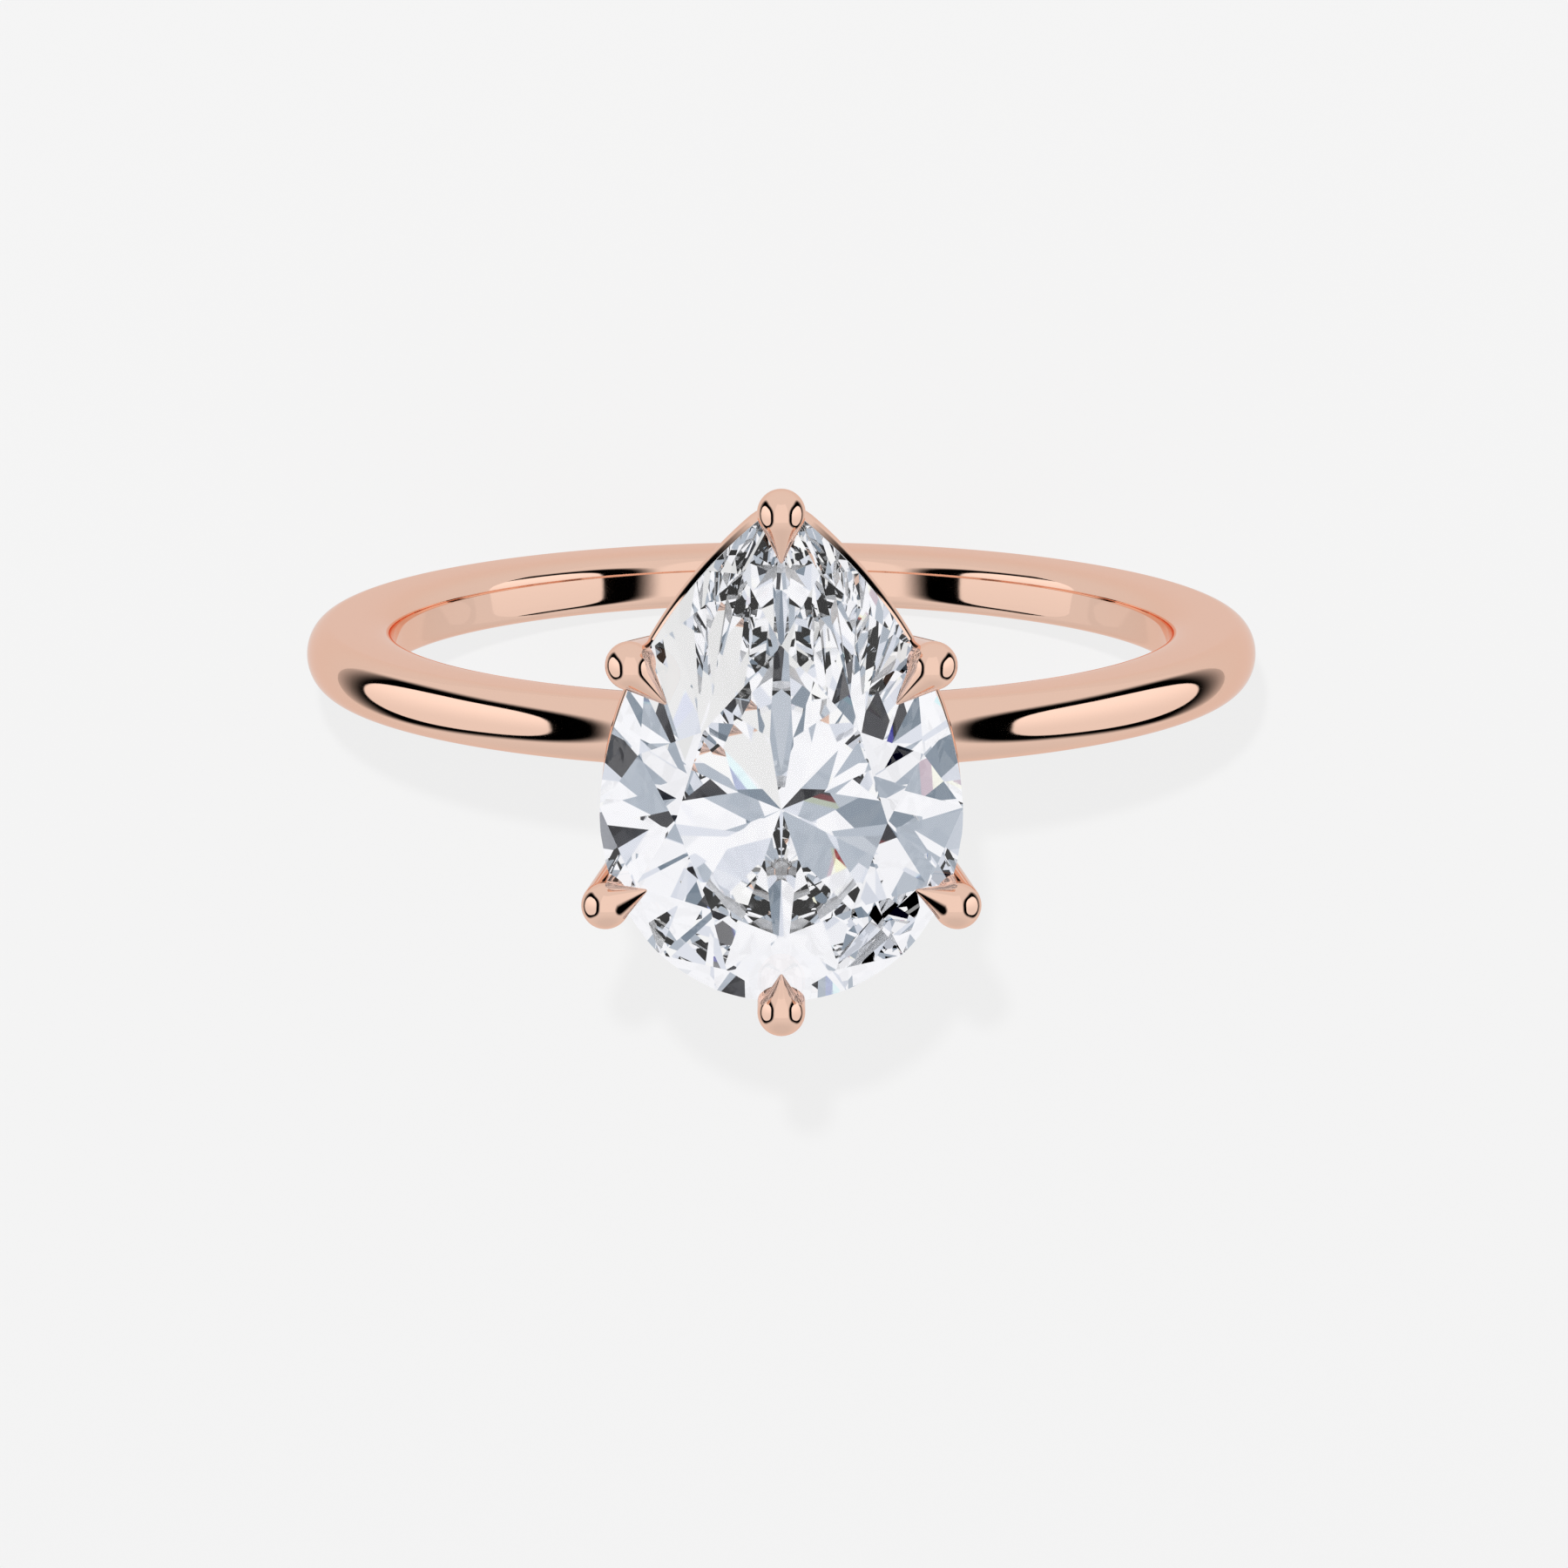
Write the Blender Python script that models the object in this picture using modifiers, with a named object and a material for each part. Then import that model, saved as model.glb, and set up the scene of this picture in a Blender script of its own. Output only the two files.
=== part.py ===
"""A plain rose gold solitaire ring: a pear brilliant diamond held by six claws over a slim round band.

Frame: +Z runs out through the stone, the finger passes along Y, and the stone's point is toward +Y.
The origin is the middle of the finger hole.  Lengths are metres.
"""
import math

import bmesh
import bpy
from mathutils import Matrix, Vector

MM = 0.001
GAP = 0.02 * MM                 # fitted clearance between two pieces that seat in each other

# The shank: US size 5 1/2, rounded outside and nearly flat toward the finger
HOLE_RADIUS = 8.05 * MM
SHANK_THICKNESS = 1.77 * MM
SHANK_WIDTH = 1.29 * MM
SHANK_STEPS = 120
SHANK_OUTER_SHARE = 0.29        # share of the thickness outside the widest line
SHANK_SECTION_POINTS = 12
SHANK_INNER_POWER = 4.5         # 2 is round, higher is flatter toward the finger

# The pear brilliant diamond
GIRDLE_Z = 13.20 * MM
GIRDLE_THICKNESS = 0.15 * MM
CROWN_HEIGHT = 1.02 * MM
PAVILION_DEPTH = 2.92 * MM
TABLE_SHARE = 0.58
HALF_WIDTH = 3.40 * MM
BELLY_Y = -0.74 * MM            # height of the widest line, and of the culet
HEEL_DEPTH = 3.57 * MM          # from the widest line to the rounded end
TIP_Y = 5.20 * MM
TIP_HALF_ANGLE = math.radians(53.6)
FLANK_LIFT = 2.24 * MM          # handle of the flank curve at the widest line
FLANK_RUN = 2.34 * MM           # handle of the flank curve at the point
STONE_TIP_RADIUS = 0.06 * MM
OUTLINE_STEPS = 40              # outline points down one side, from the point to the heel
STAR_SHARE = 0.50               # how far a star facet reaches from the table to the girdle
LOWER_HALF_SHARE = 0.76         # how far a lower half facet reaches from the girdle to the culet
MAIN_STATIONS = (0.0, 0.30, 0.55, 0.80, 1.0)    # main facets down one side, point to heel

# The two rails of the head
GALLERY_Z = 11.85 * MM
GALLERY_RADIUS = 0.37 * MM
GALLERY_INSET = 0.36 * MM
BASE_Z = 9.80 * MM
BASE_RADIUS = 0.40 * MM
BASE_INSET = 1.05 * MM
RAIL_STEPS = 44                 # path points down one side of a rail
RAIL_TIP_RADIUS = 0.55 * MM
RAIL_ARC_STEPS = 12

# The claws: where each wire passes the girdle, and where its point lies on the crown
CLAWS = {
    "prong_top": ((0.0, 5.08), (0.0, 4.18)),
    "prong_upper_left": ((-2.82, 2.22), (-2.16, 1.53)),
    "prong_upper_right": ((2.82, 2.22), (2.16, 1.53)),
    "prong_lower_left": ((-3.29, -2.34), (-2.54, -2.02)),
    "prong_lower_right": ((3.29, -2.34), (2.54, -2.02)),
    "prong_bottom": ((0.0, -4.40), (0.0, -3.69)),
}
CLAW_WIRE_RADIUS = 0.45 * MM
CLAW_SHOULDER_Z = 13.70 * MM
CLAW_FOOT_Z = 9.80 * MM
CLAW_LEAN = math.radians(11.3)
TALON_RADIUS = 0.40 * MM
TALON_SHIFT = 0.05 * MM         # the talon's bulb sits this far in from the wire's middle
TALON_LIFT = 0.10 * MM          # and this far above the wire's shoulder
TALON_POINT_RADIUS = 0.045 * MM
TALON_POINT_LIFT = 0.05 * MM    # the talon's end above the crown facet it lies on
LAP_MARGIN = 0.06 * MM          # how much taller the halving notch is than the rail in it
LAP_SIZE = 1.4 * MM
CLAW_SIDES = 28
CLAW_ROUND_STEPS = 7


def clear_scene():
    for item in list(bpy.data.objects):
        bpy.data.objects.remove(item, do_unlink=True)


def new_collection(name, hidden=False):
    group = bpy.data.collections.new(name)
    bpy.context.scene.collection.children.link(group)
    group.hide_render = hidden
    return group


def principled(name, colour, roughness, metallic, transmission=0.0, ior=1.45):
    material = bpy.data.materials.new(name)
    material.use_nodes = True
    shader = material.node_tree.nodes["Principled BSDF"]
    shader.inputs["Base Color"].default_value = (*colour, 1.0)
    shader.inputs["Roughness"].default_value = roughness
    shader.inputs["Metallic"].default_value = metallic
    shader.inputs["Transmission Weight"].default_value = transmission
    shader.inputs["IOR"].default_value = ior
    material.diffuse_color = (*colour, 1.0)
    return material


def rose_gold(name):
    return principled(name + "_rose_gold", (0.86, 0.56, 0.45), 0.08, 1.0)


def place(item, group, material=None, smooth=True):
    for owner in list(item.users_collection):
        owner.objects.unlink(item)
    group.objects.link(item)
    if material:
        item.data.materials.clear()
        item.data.materials.append(material)
    for face in item.data.polygons:
        face.use_smooth = smooth
    return item


def as_cutter(item, group):
    place(item, group)
    item.hide_render = True
    item.display_type = "WIRE"
    return item


def mesh_object(name, bm):
    bmesh.ops.recalc_face_normals(bm, faces=bm.faces)
    mesh = bpy.data.meshes.new(name)
    bm.to_mesh(mesh)
    bm.free()
    return bpy.data.objects.new(name, mesh)


def turned(name, profile, steps):
    """A closed solid of revolution about Z from (radius, height) points."""
    mesh = bpy.data.meshes.new(name)
    count = len(profile)
    closed = profile[0][0] > GAP
    edges = [(i, (i + 1) % count) for i in range(count if closed else count - 1)]
    mesh.from_pydata([(r, 0.0, z) for r, z in profile], edges, [])
    item = bpy.data.objects.new(name, mesh)
    spin = item.modifiers.new("turn", "SCREW")
    spin.axis = "Z"
    spin.steps = steps
    spin.render_steps = steps
    spin.use_merge_vertices = True
    spin.merge_threshold = 1e-6
    spin.use_smooth_shade = True
    return item


def cut(target, cutter, operation="DIFFERENCE"):
    modifier = target.modifiers.new(operation.lower() + "_" + cutter.name, "BOOLEAN")
    modifier.operation = operation
    modifier.solver = "EXACT"
    modifier.object = cutter


def frozen(item):
    """The item's evaluated shape as a plain mesh object, its modifiers spent."""
    graph = bpy.context.evaluated_depsgraph_get()
    mesh = bpy.data.meshes.new_from_object(item.evaluated_get(graph))
    bm = bmesh.new()
    bm.from_mesh(mesh)
    bmesh.ops.remove_doubles(bm, verts=bm.verts, dist=1e-7)
    bm.to_mesh(mesh)
    bm.free()
    solid = bpy.data.objects.new(item.name, mesh)
    solid.matrix_world = item.matrix_world.copy()
    name = item.name
    bpy.data.objects.remove(item, do_unlink=True)
    solid.name = name
    return solid


# ---------------------------------------------------------------- the pear outline

def flank_point(t):
    """The flank from the point (t=0) to the widest line (t=1), on the +X side."""
    p0 = Vector((0.0, TIP_Y))
    p1 = p0 + FLANK_RUN * Vector((math.sin(TIP_HALF_ANGLE), -math.cos(TIP_HALF_ANGLE)))
    p3 = Vector((HALF_WIDTH, BELLY_Y))
    p2 = p3 + Vector((0.0, FLANK_LIFT))
    s = 1.0 - t
    return p0 * s**3 + p1 * (3 * s * s * t) + p2 * (3 * s * t * t) + p3 * t**3


def heel_point(t):
    """The rounded end from the widest line (t=0) to the bottom (t=1), on the +X side."""
    angle = t * math.pi / 2
    return Vector((HALF_WIDTH * math.cos(angle), BELLY_Y - HEEL_DEPTH * math.sin(angle)))


def half_outline(samples=400):
    points = [flank_point(i / samples) for i in range(samples)]
    return points + [heel_point(i / samples) for i in range(samples + 1)]


def lengths(points):
    total = [0.0]
    for a, b in zip(points, points[1:]):
        total.append(total[-1] + (b - a).length)
    return total


def at_share(points, share):
    """The point a share of the way along a path, and the path's direction there."""
    run = lengths(points)
    goal = share * run[-1]
    i = max(j for j in range(len(points) - 1) if run[j] <= goal)
    step = (goal - run[i]) / (run[i + 1] - run[i])
    return points[i].lerp(points[i + 1], step), (points[i + 1] - points[i]).normalized()


HALF = half_outline()


def outline_at(share):
    """The outline at a share from -1 to 1: 0 is the point, +-1 the middle of the rounded end."""
    point, along = at_share(HALF, min(abs(share), 1.0))
    if abs(share) < 1e-9:
        along = Vector((1.0, 0.0))
    if abs(share) > 1.0 - 1e-9:
        along = Vector((-1.0, 0.0))
    if share < 0.0:
        return Vector((-point.x, point.y)), Vector((along.x, -along.y))
    return point, along


def inset_outline(distance, count, tip_radius):
    """The outline moved inward by a distance, with its point rounded to a radius."""
    side = []
    centre_y = None
    for a, b in zip(HALF, HALF[1:]):
        along = (b - a).normalized()
        outward = Vector((-along.y, along.x))
        centre = (a + b) / 2 - outward * (distance + tip_radius)
        if centre.x <= 0.0:
            continue
        if centre_y is None:
            centre_y = centre.y
            sweep = math.atan2(outward.x, outward.y)
        side.append(centre + outward * tip_radius)
    arc = []
    for k in range(RAIL_ARC_STEPS):
        angle = sweep * k / RAIL_ARC_STEPS
        arc.append(Vector((tip_radius * math.sin(angle), centre_y + tip_radius * math.cos(angle))))
    path = arc + side + [Vector((0.0, side[-1].y))]
    half = [at_share(path, k / count)[0] for k in range(count)] + [path[-1]]
    return half + [Vector((-p.x, p.y)) for p in reversed(half[1:-1])]


# ---------------------------------------------------------------- the diamond

def plane_through(a, b, c, inside):
    """The plane through three points, its normal turned away from a point inside the stone."""
    normal = (b - a).cross(c - a).normalized()
    if normal.dot(inside - a) > 0.0:
        normal = -normal
    return a, normal


def between_planes(p, q, start, share, apex):
    """A point a share of the way along the two planes' common line, from start's height to apex's."""
    along = p[1].cross(q[1]).normalized()
    height = start.z + share * (apex.z - start.z)
    rows = Matrix((p[1], q[1], Vector((0.0, 0.0, 1.0))))
    if abs(along.z) < 1e-6:
        return start.lerp(apex, share)
    return rows.inverted() @ Vector((p[1].dot(p[0]), q[1].dot(q[0]), height))


def facet_planes():
    """Every crown and pavilion facet of the pear brilliant as (point, outward normal)."""
    shares = list(MAIN_STATIONS) + [-s for s in reversed(MAIN_STATIONS[1:-1])]
    count = len(shares)
    top_z = GIRDLE_Z + GIRDLE_THICKNESS / 2
    low_z = GIRDLE_Z - GIRDLE_THICKNESS / 2
    table_z = top_z + CROWN_HEIGHT
    middle = Vector((0.0, BELLY_Y, GIRDLE_Z))
    culet = Vector((0.0, BELLY_Y, low_z - PAVILION_DEPTH))
    girdle = [outline_at(s) for s in shares]
    halfway = []
    for i, s in enumerate(shares):
        following = shares[(i + 1) % count]
        if s == 1.0:
            s = -1.0
        halfway.append(outline_at((s + following) / 2)[0])

    planes = [(Vector((0.0, 0.0, table_z)), Vector((0.0, 0.0, 1.0)))]
    corners = []
    crown = []
    pavilion = []
    for point, along in girdle:
        edge = along.to_3d()
        on_top = Vector((point.x, point.y, top_z))
        on_low = Vector((point.x, point.y, low_z))
        corner = middle.lerp(Vector((point.x, point.y, GIRDLE_Z)), TABLE_SHARE)
        corner.z = table_z
        corners.append(corner)
        crown.append(plane_through(on_top, on_top + edge * MM, corner, middle))
        pavilion.append(plane_through(on_low, on_low + edge * MM, culet, middle))
    for i in range(count):
        j = (i + 1) % count
        rim_top = [Vector((p.x, p.y, top_z)) for p in (girdle[i][0], halfway[i], girdle[j][0])]
        rim_low = [Vector((p.x, p.y, low_z)) for p in (girdle[i][0], halfway[i], girdle[j][0])]
        star = between_planes(crown[i], crown[j], corners[i], STAR_SHARE, rim_top[1])
        deep = between_planes(pavilion[i], pavilion[j], rim_low[1], LOWER_HALF_SHARE, culet)
        planes.append(plane_through(corners[i], corners[j], star, middle))
        planes.append(plane_through(rim_top[0], rim_top[1], star, middle))
        planes.append(plane_through(rim_top[2], rim_top[1], star, middle))
        planes.append(plane_through(rim_low[0], rim_low[1], deep, middle))
        planes.append(plane_through(rim_low[2], rim_low[1], deep, middle))
    return planes + crown + pavilion


def stone(name, grow=0.0):
    """The diamond as a pear prism cut by its facet planes; grow enlarges it all over."""
    outline = inset_outline(-grow, OUTLINE_STEPS, STONE_TIP_RADIUS + grow)
    bm = bmesh.new()
    low = [bm.verts.new((p.x, p.y, GIRDLE_Z - 2 * PAVILION_DEPTH)) for p in outline]
    top = [bm.verts.new((p.x, p.y, GIRDLE_Z + 2 * CROWN_HEIGHT)) for p in outline]
    bm.faces.new(low)
    bm.faces.new(top)
    for i in range(len(outline)):
        j = (i + 1) % len(outline)
        bm.faces.new((low[i], low[j], top[j], top[i]))
    bmesh.ops.recalc_face_normals(bm, faces=bm.faces)
    for point, normal in facet_planes():
        everything = bm.verts[:] + bm.edges[:] + bm.faces[:]
        bmesh.ops.bisect_plane(bm, geom=everything, dist=1e-8, plane_co=point + normal * grow,
                               plane_no=normal, clear_outer=True)
        rim = [edge for edge in bm.edges if edge.is_boundary]
        if rim:
            bmesh.ops.holes_fill(bm, edges=rim, sides=0)
    bmesh.ops.remove_doubles(bm, verts=bm.verts, dist=2e-6)
    bmesh.ops.dissolve_degenerate(bm, edges=bm.edges, dist=2e-6)
    return mesh_object(name, bm)


def crown_height(x, y):
    """The height of the crown's surface over a point of the plan."""
    heights = []
    for point, normal in facet_planes():
        if normal.z > 0.05:
            away = normal.x * (x - point.x) + normal.y * (y - point.y)
            heights.append(point.z - away / normal.z)
    return min(heights)


# ---------------------------------------------------------------- the gold pieces

def shank(name):
    """The band: a D section turned about the finger's axis."""
    widest = HOLE_RADIUS + SHANK_THICKNESS * (1.0 - SHANK_OUTER_SHARE)
    outer = SHANK_THICKNESS * SHANK_OUTER_SHARE
    inner = SHANK_THICKNESS - outer
    profile = []
    for k in range(SHANK_SECTION_POINTS + 1):
        angle = math.pi / 2 - math.pi * k / SHANK_SECTION_POINTS
        profile.append((widest + outer * math.cos(angle), SHANK_WIDTH / 2 * math.sin(angle)))
    power = 2.0 / SHANK_INNER_POWER
    for k in range(1, SHANK_SECTION_POINTS):
        angle = -math.pi / 2 - math.pi * k / SHANK_SECTION_POINTS
        across = math.sin(angle)
        depth = inner * abs(math.cos(angle)) ** power
        profile.append((widest - depth, SHANK_WIDTH / 2 * math.copysign(abs(across) ** power, across)))
    item = turned(name, profile, SHANK_STEPS)
    item.rotation_euler = (math.pi / 2, 0.0, 0.0)
    return item


def solid_rail(name, inset, height, radius):
    """A pear-shaped ring of round wire."""
    curve = bpy.data.curves.new(name, "CURVE")
    curve.dimensions = "3D"
    curve.bevel_depth = radius
    curve.bevel_resolution = 4
    path = inset_outline(inset, RAIL_STEPS, RAIL_TIP_RADIUS)
    spline = curve.splines.new("POLY")
    spline.points.add(len(path) - 1)
    for point, place_at in zip(spline.points, path):
        point.co = (place_at.x, place_at.y, height, 1.0)
    spline.use_cyclic_u = True
    wire = bpy.data.objects.new(name, curve)
    bpy.context.scene.collection.objects.link(wire)
    bpy.context.view_layer.update()
    return frozen(wire)


def round_ended(name, length, foot_radius, head_radius):
    """A bar along Z from a ball at 0 to a ball at length, the two joined by a straight taper."""
    tilt = math.asin((foot_radius - head_radius) / length)
    profile = []
    for k in range(CLAW_ROUND_STEPS + 1):
        angle = math.pi / 2 + (tilt - math.pi / 2) * k / CLAW_ROUND_STEPS
        profile.append((head_radius * math.cos(angle), length + head_radius * math.sin(angle)))
    for k in range(CLAW_ROUND_STEPS + 1):
        angle = tilt + (-math.pi / 2 - tilt) * k / CLAW_ROUND_STEPS
        profile.append((foot_radius * math.cos(angle), foot_radius * math.sin(angle)))
    profile[0] = (0.0, profile[0][1])
    profile[-1] = (0.0, profile[-1][1])
    return turned(name, profile, CLAW_SIDES)


def stand_along(item, start, end):
    turn = (end - start).to_track_quat("Z", "Y").to_matrix().to_4x4()
    item.matrix_world = Matrix.Translation(start) @ turn


def claw_line(wire_at):
    """The foot and the shoulder of a claw's wire, and its inward direction in plan."""
    plan = Vector(wire_at) * MM
    inward = (Vector((0.0, BELLY_Y)) - plan).normalized().to_3d()
    drop = CLAW_SHOULDER_Z - CLAW_FOOT_Z
    shoulder = Vector((plan.x, plan.y, CLAW_SHOULDER_Z))
    foot = shoulder + Vector((0.0, 0.0, -drop)) + inward * (drop * math.tan(CLAW_LEAN))
    return foot, shoulder, inward


def half_block(name, wire_at, side, height, clearance):
    """A block that fills one side of a claw's wire where the gallery rail crosses it."""
    foot, shoulder, inward = claw_line(wire_at)
    up = (shoulder - foot).normalized()
    across = up.cross(inward).normalized()
    face = across.cross(up) * side
    crossing = foot + up * ((GALLERY_Z - foot.z) / up.z)
    bm = bmesh.new()
    bmesh.ops.create_cube(bm, size=1.0)
    item = mesh_object(name, bm)
    turn = Matrix((face, across, up)).transposed().to_4x4()
    reach = Matrix.Translation(crossing + face * (LAP_SIZE / 2 - clearance))
    item.matrix_world = reach @ turn @ Matrix.Diagonal((LAP_SIZE, LAP_SIZE, height, 1.0))
    return item


def lap_cutter(name, wire_at, hidden):
    """What a claw's wire takes out of the gallery rail: the wire's outer half, with clearance."""
    foot, shoulder, _ = claw_line(wire_at)
    radius = CLAW_WIRE_RADIUS + GAP
    wire = round_ended(name + "_lap", (shoulder - foot).length, radius, radius)
    stand_along(wire, foot, shoulder)
    as_cutter(wire, hidden)
    keep = as_cutter(half_block(name + "_lap_side", wire_at, -1.0, 2 * LAP_SIZE, GAP), hidden)
    cut(wire, keep, "INTERSECT")
    return wire


def claw(name, wire_at, point_at, cutters, group, hidden):
    """One claw: a wire standing on the base rail, closed over the stone by a pointed talon."""
    foot, shoulder, inward = claw_line(wire_at)
    wire = round_ended(name, (shoulder - foot).length, CLAW_WIRE_RADIUS, CLAW_WIRE_RADIUS)
    stand_along(wire, foot, shoulder)

    tip = Vector(point_at) * MM
    tip_z = crown_height(tip.x, tip.y) + TALON_POINT_LIFT
    end = Vector((tip.x, tip.y, tip_z))
    bulb = shoulder + inward * TALON_SHIFT + Vector((0.0, 0.0, TALON_LIFT))
    talon = round_ended(name + "_talon", (end - bulb).length, TALON_RADIUS, TALON_POINT_RADIUS)
    stand_along(talon, bulb, end)
    as_cutter(talon, hidden)

    place(wire, group, rose_gold(name))
    cut(wire, talon, "UNION")
    notch_height = 2 * (GALLERY_RADIUS + GAP + LAP_MARGIN)
    notch = half_block(name + "_notch", wire_at, 1.0, notch_height, 0.0)
    for cutter in [as_cutter(notch, hidden)] + cutters:
        cut(wire, cutter)
    return wire


def build():
    clear_scene()
    ring = new_collection("engagement_ring")
    hidden = new_collection("cutters", hidden=True)

    gem = stone("diamond")
    place(gem, ring, principled("diamond_stone", (0.97, 0.98, 1.0), 0.0, 0.0, 1.0, 2.417), smooth=False)

    rails = {
        "gallery_rail": (GALLERY_INSET, GALLERY_Z, GALLERY_RADIUS),
        "base_rail": (BASE_INSET, BASE_Z, BASE_RADIUS),
    }
    for name, (inset, height, radius) in rails.items():
        place(solid_rail(name, inset, height, radius), ring, rose_gold(name))
    rail_seat = as_cutter(solid_rail("base_rail_seat", BASE_INSET, BASE_Z, BASE_RADIUS + GAP), hidden)

    band = place(shank("shank"), ring, rose_gold("shank"))
    cut(band, rail_seat)

    stone_seat = as_cutter(stone("diamond_seat", GAP), hidden)
    cutters = [stone_seat, rail_seat]
    for name, (wire_at, point_at) in CLAWS.items():
        claw(name, wire_at, point_at, cutters, ring, hidden)
        cut(bpy.data.objects["gallery_rail"], lap_cutter(name, wire_at, hidden))


build()
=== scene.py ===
"""The engagement ring: polished rose gold and a pear brilliant on a pale floor."""
import math

import bmesh
import bpy
import numpy as np
from mathutils import Matrix, Vector


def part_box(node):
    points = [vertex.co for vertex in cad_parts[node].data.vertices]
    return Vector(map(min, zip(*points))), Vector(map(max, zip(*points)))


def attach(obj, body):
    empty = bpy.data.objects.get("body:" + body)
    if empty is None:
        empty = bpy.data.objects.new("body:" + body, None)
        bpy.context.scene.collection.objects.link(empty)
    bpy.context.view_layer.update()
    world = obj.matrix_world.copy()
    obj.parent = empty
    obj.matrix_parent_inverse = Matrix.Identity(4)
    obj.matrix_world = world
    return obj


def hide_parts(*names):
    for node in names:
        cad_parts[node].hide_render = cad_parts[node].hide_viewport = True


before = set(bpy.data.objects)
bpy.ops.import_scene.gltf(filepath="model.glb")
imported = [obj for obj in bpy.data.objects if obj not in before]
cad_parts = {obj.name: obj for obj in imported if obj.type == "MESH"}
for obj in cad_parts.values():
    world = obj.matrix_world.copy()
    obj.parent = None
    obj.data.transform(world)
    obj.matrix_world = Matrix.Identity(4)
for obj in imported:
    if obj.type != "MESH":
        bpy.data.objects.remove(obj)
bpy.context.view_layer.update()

MM = 0.001


def span(node):
    low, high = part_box(node)
    return Vector(low), Vector(high)


# ------------------------------------------------------------ sizes, read from the CAD
shank_low, shank_high = span("shank")
gem_low, gem_high = span("diamond")
gallery_low, gallery_high = span("gallery_rail")
base_low, base_high = span("base_rail")

OUTER_RADIUS = (shank_high.x - shank_low.x) / 2
BAND_WIDTH = shank_high.y - shank_low.y
BAND_THICKNESS = 1.77 * MM
BAND_OUTER_SHARE = 0.29
BAND_INNER_POWER = 4.5
HALF_WIDTH = (gem_high.x - gem_low.x) / 2
TIP_Y = gem_high.y + 0.015 * MM
BELLY_Y = -0.74 * MM
HEEL_DEPTH = BELLY_Y - gem_low.y
TABLE_Z = gem_high.z
CULET_Z = gem_low.z
CROWN_HEIGHT = 1.02 * MM
GIRDLE_THICKNESS = 0.15 * MM
GIRDLE_Z = TABLE_Z - CROWN_HEIGHT - GIRDLE_THICKNESS / 2
PAVILION_DEPTH = GIRDLE_Z - GIRDLE_THICKNESS / 2 - CULET_Z
TABLE_SHARE = 0.58
TIP_HALF_ANGLE = math.radians(53.6)
FLANK_RUN = 2.34 * MM
FLANK_LIFT = 2.24 * MM
STONE_TIP_RADIUS = 0.06 * MM
STAR_SHARE = 0.50
LOWER_HALF_SHARE = 0.76
MAIN_STATIONS = (0.0, 0.30, 0.55, 0.80, 1.0)

GALLERY_Z = (gallery_low.z + gallery_high.z) / 2
GALLERY_RADIUS = (gallery_high.z - gallery_low.z) / 2
GALLERY_INSET = 0.36 * MM
BASE_Z = (base_low.z + base_high.z) / 2
BASE_RADIUS = (base_high.z - base_low.z) / 2
BASE_INSET = 1.05 * MM
RAIL_TIP_RADIUS = 0.55 * MM

CLAWS = {
    "prong_top": ((0.0, 5.08), (0.0, 4.18)),
    "prong_upper_left": ((-2.82, 2.22), (-2.16, 1.53)),
    "prong_upper_right": ((2.82, 2.22), (2.16, 1.53)),
    "prong_lower_left": ((-3.29, -2.34), (-2.54, -2.02)),
    "prong_lower_right": ((3.29, -2.34), (2.54, -2.02)),
    "prong_bottom": ((0.0, -4.40), (0.0, -3.69)),
}
WIRE_RADIUS = 0.45 * MM
SHOULDER_Z = 13.70 * MM
FOOT_Z = 9.80 * MM
CLAW_LEAN = math.radians(11.3)
TALON_RADIUS = 0.41 * MM
TALON_SHIFT = 0.05 * MM
TALON_LIFT = 0.10 * MM
TALON_BLEND = 0.05 * MM
TURN_IN = 0.62 * MM         # the rings fan about a point this far in from the wire's shoulder
TURN_DOWN = 0.47 * MM       # and this far below it
POINT_RADIUS = 0.035 * MM
POINT_LIFT = 0.05 * MM
SEAT_GAP = 0.004 * MM


# ------------------------------------------------------------ the pear outline

def outline_half(samples=600):
    start = Vector((0.0, TIP_Y))
    lead = start + FLANK_RUN * Vector((math.sin(TIP_HALF_ANGLE), -math.cos(TIP_HALF_ANGLE)))
    wide = Vector((HALF_WIDTH, BELLY_Y))
    trail = wide + Vector((0.0, FLANK_LIFT))
    points = []
    for i in range(samples):
        t = i / samples
        s = 1.0 - t
        points.append(start * s**3 + lead * (3 * s * s * t) + trail * (3 * s * t * t) + wide * t**3)
    for i in range(samples + 1):
        angle = i / samples * math.pi / 2
        points.append(Vector((HALF_WIDTH * math.cos(angle), BELLY_Y - HEEL_DEPTH * math.sin(angle))))
    return points


def measured(points):
    total = [0.0]
    for a, b in zip(points, points[1:]):
        total.append(total[-1] + (b - a).length)
    return points, total


def along(path, share):
    points, run = path
    goal = share * run[-1]
    low, high = 0, len(points) - 2
    while low < high:
        middle = (low + high + 1) // 2
        if run[middle] <= goal:
            low = middle
        else:
            high = middle - 1
    step = (goal - run[low]) / (run[low + 1] - run[low])
    return points[low].lerp(points[low + 1], step), (points[low + 1] - points[low]).normalized()


HALF = outline_half()
HALF_RUN = measured(HALF)


def outline_at(share):
    """Point and direction of the outline from -1 to 1: 0 is the tip, +-1 the rounded end."""
    point, way = along(HALF_RUN, min(abs(share), 1.0))
    if abs(share) < 1e-9:
        way = Vector((1.0, 0.0))
    if abs(share) > 1.0 - 1e-9:
        way = Vector((-1.0, 0.0))
    if share < 0.0:
        return Vector((-point.x, point.y)), Vector((way.x, -way.y))
    return point, way


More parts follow.
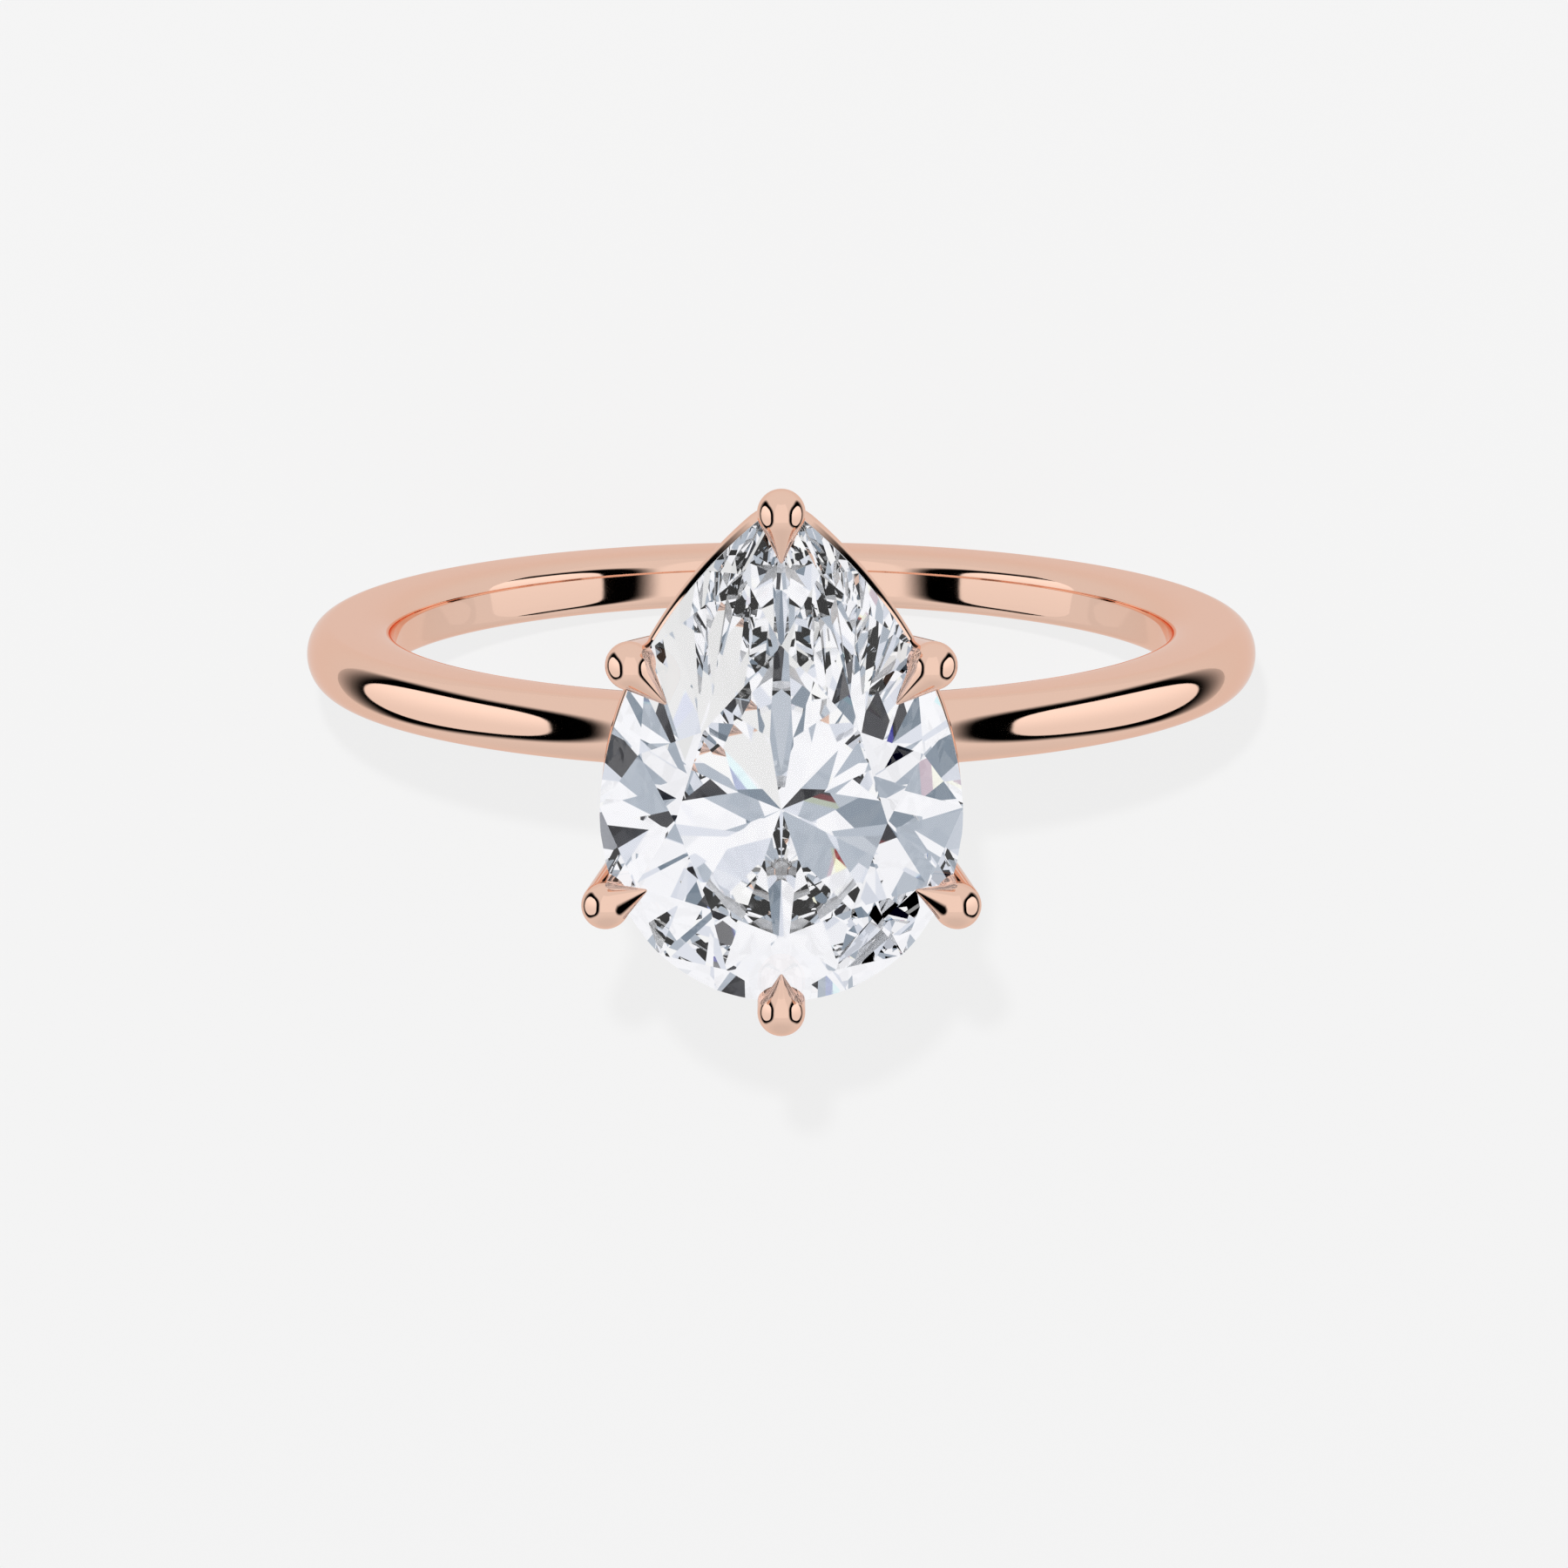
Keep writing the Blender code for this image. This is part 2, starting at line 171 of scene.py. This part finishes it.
def inset_outline(distance, count, tip_radius):
    """The outline moved inward by a distance, its tip rounded to a radius, as a closed loop."""
    side = []
    centre_y = None
    for a, b in zip(HALF, HALF[1:]):
        way = (b - a).normalized()
        outward = Vector((-way.y, way.x))
        centre = (a + b) / 2 - outward * (distance + tip_radius)
        if centre.x <= 0.0:
            continue
        if centre_y is None:
            centre_y = centre.y
            sweep = math.atan2(outward.x, outward.y)
        side.append(centre + outward * tip_radius)
    arc = [Vector((tip_radius * math.sin(sweep * k / 24), centre_y + tip_radius * math.cos(sweep * k / 24)))
           for k in range(24)]
    path = measured(arc + side + [Vector((0.0, side[-1].y))])
    half = [along(path, k / count)[0] for k in range(count)] + [path[0][-1]]
    return half + [Vector((-p.x, p.y)) for p in reversed(half[1:-1])]


# ------------------------------------------------------------ mesh helpers

def add_object(name, bm, material, node, smooth=True):
    bmesh.ops.recalc_face_normals(bm, faces=bm.faces)
    mesh = bpy.data.meshes.new(name)
    bm.to_mesh(mesh)
    bm.free()
    for face in mesh.polygons:
        face.use_smooth = smooth
    item = bpy.data.objects.new(name, mesh)
    bpy.context.scene.collection.objects.link(item)
    if node:
        mesh.materials.append(material)
        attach(item, "root")
        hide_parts(node)
        item.visible_transmission = node == "diamond"    # the stone doesn't show the gold behind it
    return item


def skin(bm, rings, closed_length=False):
    """Quads between rings of points; open ends are closed with a fan."""
    rows = [[bm.verts.new(p) for p in ring] for ring in rings]
    count = len(rings[0])
    pairs = list(zip(rows, rows[1:]))
    if closed_length:
        pairs.append((rows[-1], rows[0]))
    for a, b in pairs:
        for i in range(count):
            j = (i + 1) % count
            bm.faces.new((a[i], a[j], b[j], b[i]))
    if not closed_length:
        for row in (rows[0], rows[-1]):
            bm.faces.new(row)


# ------------------------------------------------------------ node helpers

class Nodes:
    """Short names for building a node tree by formula."""

    def __init__(self, tree):
        self.tree = tree
        tree.nodes.clear()

    def new(self, kind, **settings):
        node = self.tree.nodes.new(kind)
        for key, value in settings.items():
            setattr(node, key, value)
        return node

    def feed(self, socket, value):
        if isinstance(value, bpy.types.NodeSocket):
            self.tree.links.new(value, socket)
        else:
            socket.default_value = value

    def math(self, operation, *values):
        node = self.new("ShaderNodeMath", operation=operation)
        for socket, value in zip(node.inputs, values):
            self.feed(socket, value)
        return node.outputs[0]

    def step(self, value, low, high, start=0.0, end=1.0):
        node = self.new("ShaderNodeMapRange", interpolation_type="SMOOTHSTEP")
        self.feed(node.inputs["Value"], value)
        for key, number in (("From Min", low), ("From Max", high), ("To Min", start), ("To Max", end)):
            node.inputs[key].default_value = number
        return node.outputs["Result"]

    def window(self, value, low, high, soft):
        """1 between low and high, falling to 0 over a soft edge."""
        rise = self.step(value, low - soft, low + soft)
        fall = self.step(value, high - soft, high + soft, 1.0, 0.0)
        return self.math("MULTIPLY", rise, fall)

    def mix(self, factor, a, b):
        """a at 0, b at 1, for plain numbers."""
        node = self.new("ShaderNodeMix", data_type="FLOAT")
        self.feed(node.inputs[0], factor)
        self.feed(node.inputs[2], a)
        self.feed(node.inputs[3], b)
        return node.outputs[0]


def material(name):
    made = bpy.data.materials.new(name)
    made.use_nodes = True
    return made, Nodes(made.node_tree)


# ------------------------------------------------------------ materials

GOLD_COLOUR = (0.94, 0.645, 0.515, 1.0)
GOLD_EDGE = (1.0, 0.82, 0.74, 1.0)


def rose_gold():
    """Mirror-polished 14 carat rose gold: a faint polishing grain and slightly uneven gloss."""
    made, n = material("rose_gold")
    place = n.new("ShaderNodeTexCoord").outputs["Object"]
    shader = n.new("ShaderNodeBsdfPrincipled")
    shader.inputs["Base Color"].default_value = GOLD_COLOUR
    shader.inputs["Metallic"].default_value = 1.0
    shader.inputs["Specular Tint"].default_value = GOLD_EDGE
    haze = n.new("ShaderNodeTexNoise")
    n.feed(haze.inputs["Vector"], place)
    haze.inputs["Scale"].default_value = 900.0
    haze.inputs["Detail"].default_value = 3.0
    n.feed(shader.inputs["Roughness"], n.step(haze.outputs["Fac"], 0.3, 0.7, 0.025, 0.055))
    grain = n.new("ShaderNodeTexNoise")
    n.feed(grain.inputs["Vector"], place)
    grain.inputs["Scale"].default_value = 5200.0
    grain.inputs["Detail"].default_value = 2.0
    bump = n.new("ShaderNodeBump")
    bump.inputs["Strength"].default_value = 0.02
    bump.inputs["Distance"].default_value = 0.00001
    n.feed(bump.inputs["Height"], grain.outputs["Fac"])
    n.feed(shader.inputs["Normal"], bump.outputs["Normal"])
    out = n.new("ShaderNodeOutputMaterial")
    n.feed(out.inputs["Surface"], shader.outputs[0])
    return made


def diamond_facets():
    """Clear diamond with the faintest trace of polishing, and little glare from its surface."""
    made, n = material("diamond_facets")
    place = n.new("ShaderNodeTexCoord").outputs["Object"]
    marks = n.new("ShaderNodeTexNoise")
    n.feed(marks.inputs["Vector"], place)
    marks.inputs["Scale"].default_value = 2500.0
    shader = n.new("ShaderNodeBsdfPrincipled")
    shader.inputs["Base Color"].default_value = (1.0, 1.0, 1.0, 1.0)
    shader.inputs["Transmission Weight"].default_value = 1.0
    shader.inputs["Specular Tint"].default_value = (0.3, 0.3, 0.3, 1.0)
    n.feed(shader.inputs["Roughness"], n.step(marks.outputs[0], 0.45, 0.75, 0.0, 0.008))
    shader.inputs["IOR"].default_value = 2.417
    out = n.new("ShaderNodeOutputMaterial")
    n.feed(out.inputs["Surface"], shader.outputs[0])
    return made


def diamond_girdle():
    """The girdle's finely ground rim."""
    made, n = material("diamond_girdle")
    place = n.new("ShaderNodeTexCoord").outputs["Object"]
    grain = n.new("ShaderNodeTexNoise")
    n.feed(grain.inputs["Vector"], place)
    grain.inputs["Scale"].default_value = 9000.0
    shader = n.new("ShaderNodeBsdfPrincipled")
    shader.inputs["Base Color"].default_value = (0.97, 0.98, 1.0, 1.0)
    shader.inputs["Transmission Weight"].default_value = 1.0
    shader.inputs["IOR"].default_value = 2.42
    n.feed(shader.inputs["Roughness"], n.step(grain.outputs["Fac"], 0.3, 0.7, 0.25, 0.45))
    out = n.new("ShaderNodeOutputMaterial")
    n.feed(out.inputs["Surface"], shader.outputs[0])
    return made


gold = rose_gold()
facets = diamond_facets()
girdle_finish = diamond_girdle()


# ------------------------------------------------------------ the diamond

def plane_through(a, b, c, inside):
    normal = (b - a).cross(c - a).normalized()
    if normal.dot(inside - a) > 0.0:
        normal = -normal
    return a, normal


def on_both(p, q, height):
    """The point of two planes' common line at a height."""
    rows = Matrix((p[1], q[1], Vector((0.0, 0.0, 1.0))))
    return rows.inverted() @ Vector((p[1].dot(p[0]), q[1].dot(q[0]), height))


def facet_planes():
    """Every crown and pavilion facet of the pear brilliant as (point, outward normal)."""
    shares = list(MAIN_STATIONS) + [-s for s in reversed(MAIN_STATIONS[1:-1])]
    count = len(shares)
    top_z = GIRDLE_Z + GIRDLE_THICKNESS / 2
    low_z = GIRDLE_Z - GIRDLE_THICKNESS / 2
    middle = Vector((0.0, BELLY_Y, GIRDLE_Z))
    culet = Vector((0.0, BELLY_Y, CULET_Z))
    girdle = [outline_at(s) for s in shares]
    halfway = []
    for i, s in enumerate(shares):
        start = -1.0 if s == 1.0 else s
        halfway.append(outline_at((start + shares[(i + 1) % count]) / 2)[0])

    planes = [(Vector((0.0, 0.0, TABLE_Z)), Vector((0.0, 0.0, 1.0)))]
    corners, crown, pavilion = [], [], []
    for point, way in girdle:
        edge = way.to_3d() * MM
        on_top = Vector((point.x, point.y, top_z))
        on_low = Vector((point.x, point.y, low_z))
        corner = middle.lerp(Vector((point.x, point.y, GIRDLE_Z)), TABLE_SHARE)
        corner.z = TABLE_Z
        corners.append(corner)
        crown.append(plane_through(on_top, on_top + edge, corner, middle))
        pavilion.append(plane_through(on_low, on_low + edge, culet, middle))
    for i in range(count):
        j = (i + 1) % count
        rim = [girdle[i][0], halfway[i], girdle[j][0]]
        top = [Vector((p.x, p.y, top_z)) for p in rim]
        low = [Vector((p.x, p.y, low_z)) for p in rim]
        star = on_both(crown[i], crown[j], TABLE_Z + STAR_SHARE * (top_z - TABLE_Z))
        deep = on_both(pavilion[i], pavilion[j], low_z + LOWER_HALF_SHARE * (CULET_Z - low_z))
        planes.append(plane_through(corners[i], corners[j], star, middle))
        for end in (0, 2):
            planes.append(plane_through(top[end], top[1], star, middle))
            planes.append(plane_through(low[end], low[1], deep, middle))
    return planes + crown + pavilion


PLANES = facet_planes()


def stone_mesh(grow=0.0, steps=80):
    """The diamond as a pear prism cut by its facet planes; grow enlarges it all over."""
    outline = inset_outline(-grow, steps, STONE_TIP_RADIUS + grow)
    bm = bmesh.new()
    low = [bm.verts.new((p.x, p.y, CULET_Z - MM)) for p in outline]
    top = [bm.verts.new((p.x, p.y, TABLE_Z + MM)) for p in outline]
    bm.faces.new(low)
    bm.faces.new(top)
    for i in range(len(outline)):
        j = (i + 1) % len(outline)
        bm.faces.new((low[i], low[j], top[j], top[i]))
    bmesh.ops.recalc_face_normals(bm, faces=bm.faces)
    for point, normal in PLANES:
        everything = bm.verts[:] + bm.edges[:] + bm.faces[:]
        bmesh.ops.bisect_plane(bm, geom=everything, dist=1e-8, plane_co=point + normal * grow,
                               plane_no=normal, clear_outer=True)
        rim = [edge for edge in bm.edges if edge.is_boundary]
        if rim:
            bmesh.ops.holes_fill(bm, edges=rim, sides=0)
    bmesh.ops.remove_doubles(bm, verts=bm.verts, dist=1e-6)
    return bm


def crown_height(x, y):
    heights = []
    for point, normal in PLANES:
        if normal.z > 0.05:
            heights.append(point.z - (normal.x * (x - point.x) + normal.y * (y - point.y)) / normal.z)
    return min(heights)


gem = add_object("pear_diamond", stone_mesh(), facets, "diamond", smooth=False)
gem.data.materials.append(girdle_finish)
for face in gem.data.polygons:
    if abs(face.normal.z) < 0.02:
        face.material_index = 1


# ------------------------------------------------------------ the band

def band_section(points=40):
    """The D section as (depth outward from the widest line, width) pairs."""
    outer = BAND_THICKNESS * BAND_OUTER_SHARE
    inner = BAND_THICKNESS - outer
    section = []
    for k in range(2 * points):
        angle = math.pi / 2 - math.pi * k / points
        side, across = math.cos(angle), math.sin(angle)
        if side >= 0.0:
            section.append((outer * side, BAND_WIDTH / 2 * across))
        else:
            power = 2.0 / BAND_INNER_POWER
            section.append((-inner * abs(side) ** power,
                            BAND_WIDTH / 2 * math.copysign(abs(across) ** power, across)))
    return section


def build_band(steps=360):
    widest = OUTER_RADIUS - BAND_THICKNESS * BAND_OUTER_SHARE
    section = band_section()
    rings = []
    for k in range(steps):
        angle = 2 * math.pi * k / steps
        rings.append([((widest + depth) * math.cos(angle), across, (widest + depth) * math.sin(angle))
                      for depth, across in section])
    bm = bmesh.new()
    skin(bm, rings, closed_length=True)
    return add_object("shank_band", bm, gold, "shank")


build_band()


# ------------------------------------------------------------ the rails

def build_rail(name, node, inset, height, radius, steps=150, sides=32):
    path = inset_outline(inset, steps, RAIL_TIP_RADIUS)
    count = len(path)
    rings = []
    for i, point in enumerate(path):
        way = (path[(i + 1) % count] - path[i - 1]).normalized()
        outward = Vector((-way.y, way.x))
        ring = []
        for k in range(sides):
            angle = 2 * math.pi * k / sides
            out = point + outward * (radius * math.cos(angle))
            ring.append((out.x, out.y, height + radius * math.sin(angle)))
        rings.append(ring)
    bm = bmesh.new()
    skin(bm, rings, closed_length=True)
    return add_object(name, bm, gold, node)


build_rail("gallery_wire", "gallery_rail", GALLERY_INSET, GALLERY_Z, GALLERY_RADIUS)
build_rail("base_wire", "base_rail", BASE_INSET, BASE_Z, BASE_RADIUS)


# ------------------------------------------------------------ the claws

def to_segment(p, a, b):
    way = b - a
    t = np.clip(((p - a) @ way) / (way @ way), 0.0, 1.0)
    return np.linalg.norm(p - a - t[:, None] * way, axis=1)


def round_cone(p, a, b, ra, rb):
    """Distance to a ball of radius ra at a joined by a straight taper to a ball of radius rb at b."""
    way = b - a
    length = np.linalg.norm(way)
    axis = way / length
    height = (p - a) @ axis
    side = np.linalg.norm(p - a - height[:, None] * axis, axis=1)
    sine = (ra - rb) / length
    cosine = math.sqrt(1.0 - sine * sine)
    lean = height * cosine - side * sine
    near = np.hypot(side, height) - ra
    far = np.hypot(side, height - length) - rb
    flank = side * cosine + height * sine - ra
    return np.where(lean < 0.0, near, np.where(lean > length * cosine, far, flank))


def blended(a, b, reach):
    h = np.clip(0.5 + 0.5 * (b - a) / reach, 0.0, 1.0)
    return b * (1.0 - h) + a * h - reach * h * (1.0 - h)


def claw_rings(wire_at, point_at, sides=56):
    """Rings of points over one claw: a wire with a round foot, closed inward by a tapered talon."""
    plan = np.array([wire_at[0], wire_at[1], 0.0]) * MM
    inward = np.array([0.0, BELLY_Y, 0.0]) - plan
    inward /= np.linalg.norm(inward)
    up = np.array([0.0, 0.0, 1.0])
    shoulder = plan + up * SHOULDER_Z
    drop = SHOULDER_Z - FOOT_Z
    foot = shoulder - up * drop + inward * drop * math.tan(CLAW_LEAN)
    rise = (shoulder - foot) / np.linalg.norm(shoulder - foot)
    bulb = shoulder + inward * TALON_SHIFT + up * TALON_LIFT
    tip_x, tip_y = point_at[0] * MM, point_at[1] * MM
    tip = np.array([tip_x, tip_y, crown_height(tip_x, tip_y) + POINT_LIFT])
    reach = (tip - bulb) / np.linalg.norm(tip - bulb)
    across = np.cross(rise, inward)
    across /= np.linalg.norm(across)

    def surface(p):
        wire = to_segment(p, foot, shoulder) - WIRE_RADIUS
        talon = round_cone(p, bulb, tip, TALON_RADIUS, POINT_RADIUS)
        return blended(wire, talon, TALON_BLEND)

    def ring(centre, axis, tilt=0.0):
        side = np.cross(across, axis)
        side /= np.linalg.norm(side)
        angles = 2 * math.pi * np.arange(sides) / sides
        flat = np.outer(np.cos(angles), side) + np.outer(np.sin(angles), across)
        ways = flat * math.cos(tilt) + axis * math.sin(tilt)
        travel = np.zeros(sides)
        for _ in range(40):
            travel -= surface(centre + ways * travel[:, None])
        return [tuple(p) for p in centre + ways * travel[:, None]]

    rings = []
    for k in range(1, 10):
        rings.append(ring(foot, rise, -math.pi / 2 + math.pi / 2 * k / 10))
    pivot = shoulder + inward * TURN_IN - up * TURN_DOWN
    turn_start = foot + rise * ((pivot - foot) @ rise)
    turn_end = bulb + reach * ((pivot - bulb) @ reach)
    for k in range(22):
        rings.append(ring(foot + (turn_start - foot) * k / 22, rise))
    for k in range(33):
        t = k / 33
        arm = (turn_start - pivot) * (1 - t) + (turn_end - pivot) * t
        arm /= np.linalg.norm(arm)
        span = np.linalg.norm(turn_start - pivot) * (1 - t) + np.linalg.norm(turn_end - pivot) * t
        rings.append(ring(pivot + arm * span, np.cross(across, arm)))
    for k in range(17):
        rings.append(ring(turn_end + (tip - turn_end) * k / 16, reach))
    for k in range(1, 5):
        rings.append(ring(tip, reach, math.pi / 2 * k / 5))
    return rings


def build_claw(node, wire_at, point_at, seat):
    bm = bmesh.new()
    skin(bm, claw_rings(wire_at, point_at))
    item = add_object(node.replace("prong", "claw"), bm, gold, node)
    cutting = item.modifiers.new("seat", "BOOLEAN")
    cutting.operation = "DIFFERENCE"
    cutting.solver = "EXACT"
    cutting.object = seat
    bpy.context.view_layer.update()
    cut_mesh = bpy.data.meshes.new_from_object(item.evaluated_get(bpy.context.evaluated_depsgraph_get()))
    item.modifiers.clear()
    item.data = cut_mesh
    cut_mesh.set_sharp_from_angle(angle=math.radians(32))
    return item


seat = add_object("stone_seat", stone_mesh(SEAT_GAP, 60), None, None)
for node, (wire_at, point_at) in CLAWS.items():
    build_claw(node, wire_at, point_at, seat)
bpy.data.objects.remove(seat, do_unlink=True)


# ------------------------------------------------------------ the floor and the light

FLOOR_SEEN = 0.765              # the floor's glow to the camera
FLOOR_REFLECTED = 0.64          # and in reflections
FLOOR_PAINT = 0.12              # grey of its paint, which takes the shadow
FLOOR_HALF = 24.0 * MM
FLOOR_GAP = 0.02 * MM
BACKDROP = 0.913                # matches the lit floor

KEY_POWER = 0.35
KEY_RADIUS = 1.2 * MM
KEY_PLACE = (-3.0 * MM, 34.0 * MM, 125.0 * MM)

STONE_FIRE = 0.0012             # how far apart the three colours look
FIRE_SHARE = 0.3                # how much of that difference is kept
CARD_SCALE = 4.5
CARD_OFFSET = (0.014, -0.01)
# each card's share of the directions starts at the first number; the rest is its colour
CARDS = (
    (0.00, (0.00, 0.00, 0.005)),
    (0.05, (0.18, 0.23, 0.29)),
    (0.16, (0.42, 0.47, 0.54)),
    (0.32, (0.70, 0.73, 0.81)),
    (0.54, (0.94, 0.94, 0.97)),
)


def build_floor():
    """A pale floor that glows evenly and takes a faint shadow; reflections see it a little darker."""
    made, n = material("studio_floor")
    path = n.new("ShaderNodeLightPath")
    glow = n.new("ShaderNodeEmission")
    n.feed(glow.inputs["Strength"], n.mix(path.outputs["Is Camera Ray"], FLOOR_REFLECTED, FLOOR_SEEN))
    paint = n.new("ShaderNodeBsdfDiffuse")
    paint.inputs["Color"].default_value = (FLOOR_PAINT, FLOOR_PAINT, FLOOR_PAINT, 1.0)
    both = n.new("ShaderNodeAddShader")
    n.feed(both.inputs[0], glow.outputs[0])
    n.feed(both.inputs[1], paint.outputs[0])
    out = n.new("ShaderNodeOutputMaterial")
    n.feed(out.inputs["Surface"], both.outputs[0])
    bm = bmesh.new()
    bmesh.ops.create_grid(bm, x_segments=1, y_segments=1, size=FLOOR_HALF)
    floor = add_object("studio_floor", bm, None, None)
    floor.data.materials.append(made)
    floor.location = (0.0, 0.0, -OUTER_RADIUS - FLOOR_GAP)
    floor.visible_transmission = False


build_floor()


def build_key():
    """A small lamp beside the camera that only throws the faint shadow on the floor."""
    lamp = bpy.data.lights.new("key", "POINT")
    lamp.energy = KEY_POWER
    lamp.shadow_soft_size = KEY_RADIUS
    item = bpy.data.objects.new("key", lamp)
    bpy.context.scene.collection.objects.link(item)
    item.location = KEY_PLACE
    item.visible_glossy = False
    item.visible_transmission = False


build_key()


def build_world():
    """A white studio with a top light and, on each side, an oval light set in a dark surround.

    side is the angle round the finger from straight up, tall the angle toward the stone's point.
    Rays that have passed into the stone see the cards of stone_light instead.
    """
    world = bpy.data.worlds.new("studio")
    bpy.context.scene.world = world
    world.use_nodes = True
    n = Nodes(world.node_tree)
    way = n.new("ShaderNodeTexCoord").outputs["Generated"]
    parts = n.new("ShaderNodeSeparateXYZ")
    n.feed(parts.inputs[0], way)
    x, y, z = parts.outputs
    side = n.math("ABSOLUTE", n.math("MULTIPLY", n.math("ARCTAN2", x, z), 180.0 / math.pi))
    tall = n.math("MULTIPLY", n.math("ARCSINE", y), 180.0 / math.pi)

    def oval(side_mid, side_half, tall_mid, tall_half, soft):
        across = n.math("ABSOLUTE", n.math("MULTIPLY_ADD", side, 1.0 / side_half, -side_mid / side_half))
        upright = n.math("ABSOLUTE", n.math("MULTIPLY_ADD", tall, 1.0 / tall_half, -tall_mid / tall_half))
        reach = n.math("ADD", n.math("POWER", across, 2.6), n.math("POWER", upright, 2.6))
        return n.step(reach, 1.0 - soft, 1.0 + soft, 1.0, 0.0)

    level = n.step(tall, -75.0, -30.0, 0.70, 0.82)
    top_light = n.math("MULTIPLY", n.window(side, -10.0, 38.0, 3.0), n.window(tall, -24.0, 62.0, 3.0))
    level = n.mix(top_light, level, 0.93)
    surround = n.step(side, 118.0, 142.0, 0.0, 0.8)
    level = n.mix(oval(89.0, 48.5, -1.5, 41.0, 0.25), level, surround)
    level = n.mix(oval(87.0, 31.0, -3.0, 31.0, 0.06), level, n.step(tall, -20.0, 24.0, 0.88, 1.13))
    shade = n.new("ShaderNodeBackground")
    n.feed(shade.inputs["Strength"], level)
    shade.inputs["Color"].default_value = (1.0, 1.0, 1.0, 1.0)

    path = n.new("ShaderNodeLightPath")
    inside = n.new("ShaderNodeBackground")
    n.feed(inside.inputs["Color"], stone_light(n, way))
    through = n.new("ShaderNodeMixShader")
    n.feed(through.inputs[0], path.outputs["Is Transmission Ray"])
    n.feed(through.inputs[1], shade.outputs[0])
    n.feed(through.inputs[2], inside.outputs[0])
    seen = n.new("ShaderNodeBackground")
    seen.inputs["Color"].default_value = (BACKDROP, BACKDROP, BACKDROP, 1.0)
    choice = n.new("ShaderNodeMixShader")
    n.feed(choice.inputs[0], path.outputs["Is Camera Ray"])
    n.feed(choice.inputs[1], through.outputs[0])
    n.feed(choice.inputs[2], seen.outputs[0])
    out = n.new("ShaderNodeOutputWorld")
    n.feed(out.inputs["Surface"], choice.outputs[0])


def stone_light(n, way):
    """The studio as the stone gathers it: many small cards, white, lavender, slate and black.

    The three colours look in slightly different directions, which gives the stone its fire.
    """
    found = []
    for shift in (-STONE_FIRE, 0.0, STONE_FIRE):
        turned = n.new("ShaderNodeVectorMath", operation="ADD")
        n.feed(turned.inputs[0], way)
        turned.inputs[1].default_value = (CARD_OFFSET[0] + shift, CARD_OFFSET[1] + shift, 0.0)
        cards = n.new("ShaderNodeTexVoronoi")
        n.feed(cards.inputs["Vector"], turned.outputs[0])
        cards.inputs["Scale"].default_value = CARD_SCALE
        split = n.new("ShaderNodeSeparateColor")
        n.feed(split.inputs[0], cards.outputs["Color"])
        found.append(split.outputs[0])

    def card(chance, channel):
        level = CARDS[0][1][channel]
        for start, shade in CARDS[1:]:
            level = n.mix(n.math("GREATER_THAN", chance, start), level, shade[channel])
        return level

    colour = n.new("ShaderNodeCombineColor")
    for channel, chance in enumerate(found):
        level = n.mix(FIRE_SHARE, card(found[1], channel), card(chance, channel))
        n.feed(colour.inputs[channel], level)
    return colour.outputs[0]


build_world()


# ------------------------------------------------------------ the camera

CAMERA_TILT = math.radians(10.557)
CAMERA_DISTANCE = 13.157 * OUTER_RADIUS
LENS = 142.86
AIM_DROP = math.radians(1.255)
AIM_SIDE = math.radians(0.025)

camera_data = bpy.data.cameras.new("camera")
camera = bpy.data.objects.new("camera", camera_data)
bpy.context.scene.collection.objects.link(camera)
camera_data.lens = LENS
camera_data.sensor_width = 36.0
camera_data.clip_start = 0.001
camera_data.clip_end = 5.0
camera.location = (0.0, CAMERA_DISTANCE * math.sin(CAMERA_TILT), CAMERA_DISTANCE * math.cos(CAMERA_TILT))
camera.rotation_euler = (-CAMERA_TILT - AIM_DROP, -AIM_SIDE, 0.0)
bpy.context.scene.camera = camera

scene = bpy.context.scene
scene.view_settings.view_transform = "Standard"
scene.view_settings.look = "None"
scene.cycles.max_bounces = 24
scene.cycles.transmission_bounces = 24
scene.cycles.glossy_bounces = 12
